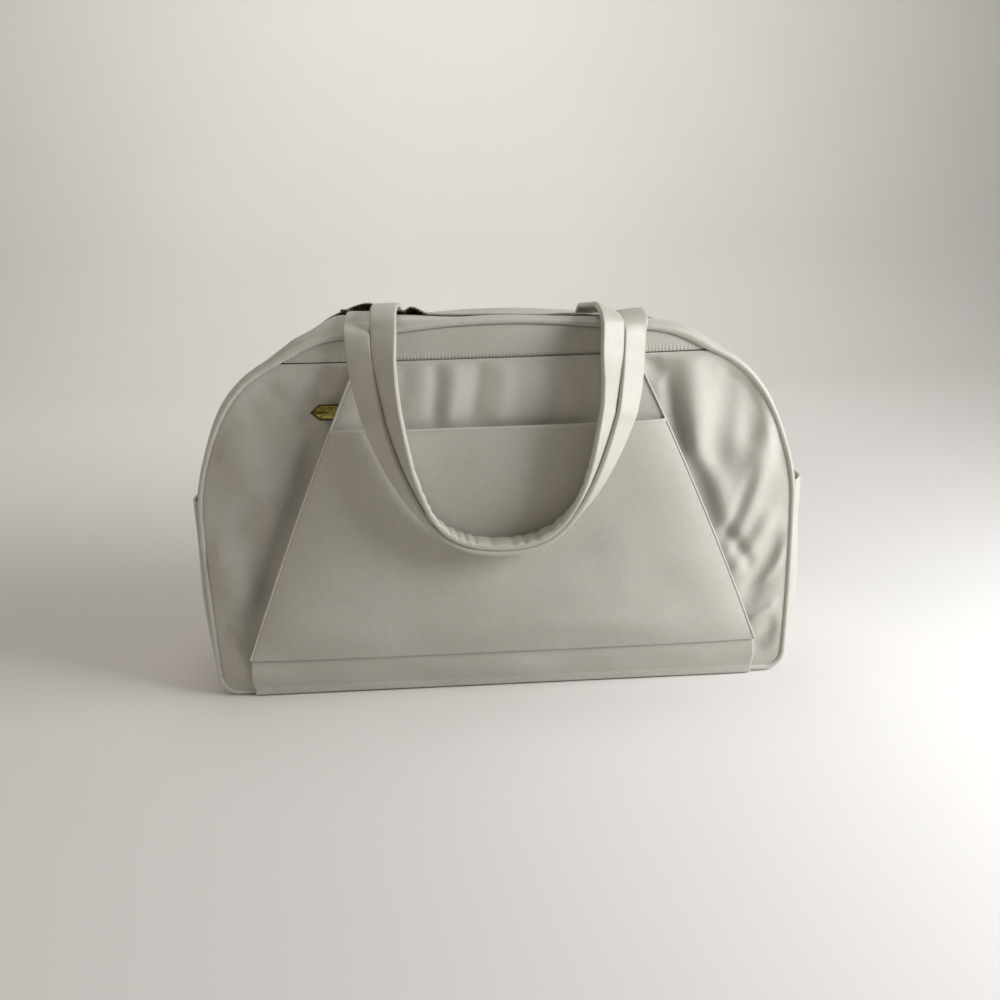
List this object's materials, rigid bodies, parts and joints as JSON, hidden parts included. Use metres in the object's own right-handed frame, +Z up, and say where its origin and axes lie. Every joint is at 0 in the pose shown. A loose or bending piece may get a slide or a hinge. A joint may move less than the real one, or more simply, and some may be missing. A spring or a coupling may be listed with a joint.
{
  "type": "yoga bag",
  "caption": "Dome-shaped yoga bag with two hanging strap handles, arched top zip and a tapered mat sleeve with slip pocket",
  "frame": {"origin": "centre of the flat base's underside, on the surface the bag stands on", "axes": "+X to the viewer's right along the bag's length, -Y out of the front with the sleeve, +Z up"},
  "size_m": [0.4924, 0.214, 0.3023],
  "materials": {
    "bag_cloth": "smooth matte woven cloth with a soft sheen",
    "piping_cloth": "bias-cut cloth over cord",
    "lining_cloth": "thin grey lining weave",
    "handle_leather": "smooth soft leather, fine grain",
    "zip_tape": "dark woven tape",
    "zip_teeth": "darkened metal teeth",
    "dark_metal": "blackened brass, satin",
    "antique_brass": "aged yellow brass, satin",
    "base_board": "matt moulded sheet"
  },
  "bodies": {
    "bag": {"back_band": "bag_cloth", "back_panel": "bag_cloth", "base_panel": "bag_cloth", "front_band": "bag_cloth", "front_panel": "bag_cloth", "front_zip_strip": "bag_cloth", "rear_zip_strip": "bag_cloth", "left_side_gusset": "bag_cloth", "right_side_gusset": "bag_cloth", "mat_sleeve": "bag_cloth", "sleeve_wrap": "bag_cloth", "slip_pocket": "bag_cloth", "side_pocket_left": "bag_cloth", "side_pocket_right": "bag_cloth", "zip_end_tab_left": "bag_cloth", "zip_end_tab_right": "bag_cloth", "front_piping": "piping_cloth", "rear_piping": "piping_cloth", "sleeve_binding_left": "piping_cloth", "sleeve_binding_right": "piping_cloth", "lining_back": "lining_cloth", "lining_base": "lining_cloth", "lining_end_left": "lining_cloth", "lining_end_right": "lining_cloth", "lining_front": "lining_cloth", "lining_top_front": "lining_cloth", "lining_top_rear": "lining_cloth", "front_pocket_bag": "lining_cloth", "front_handle_tab_left": "handle_leather", "front_handle_tab_right": "handle_leather", "rear_handle_tab_left": "handle_leather", "rear_handle_tab_right": "handle_leather", "front_zip_tape": "zip_tape", "rear_zip_tape": "zip_tape", "pocket_zip_tape_lower": "zip_tape", "pocket_zip_tape_upper": "zip_tape", "front_zip_teeth": "zip_teeth", "rear_zip_teeth": "zip_teeth", "pocket_zip_teeth_lower": "zip_teeth", "pocket_zip_teeth_upper": "zip_teeth", "base_board": "base_board"},
    "front_handle": {"front_handle": "handle_leather"},
    "rear_handle": {"rear_handle": "handle_leather"},
    "main_slider": {"main_zip_slider": "dark_metal"},
    "main_pull": {"main_zip_pull": "dark_metal"},
    "pocket_slider": {"pocket_zip_slider": "antique_brass"},
    "pocket_pull": {"pocket_zip_pull": "antique_brass"}
  },
  "joints": [
    {"name": "front_handle_swing", "type": "hinge", "parent": "bag", "child": "front_handle", "pos_m": [0, -0.06939, 0.2886], "axis": [-1, 0, 0], "range_deg": [0, 160]},
    {"name": "rear_handle_swing", "type": "hinge", "parent": "bag", "child": "rear_handle", "pos_m": [0, 0.034, 0.2968], "axis": [-1, 0, 0], "range_deg": [0, 160]},
    {"name": "main_zip_run", "type": "slide", "parent": "bag", "child": "main_slider", "axis": [0.9993, 0, -0.0377], "range_m": [0, 0.205]},
    {"name": "main_pull_swing", "type": "hinge", "parent": "main_slider", "child": "main_pull", "pos_m": [-0.10585, 0, 0.29486], "axis": [0, 1, 0], "range_deg": [0, 90]},
    {"name": "pocket_zip_run", "type": "slide", "parent": "bag", "child": "pocket_slider", "axis": [1, 0, 0], "range_m": [0, 0.222]},
    {"name": "pocket_pull_swing", "type": "hinge", "parent": "pocket_slider", "child": "pocket_pull", "pos_m": [-0.1135, -0.07953, 0.22891], "axis": [0, 0.1063, 0.9943], "range_deg": [0, 12]}
  ],
  "couplings": [
    {"joint": "front_handle_swing", "follows": "rear_handle_swing", "ratio": 1}
  ]
}
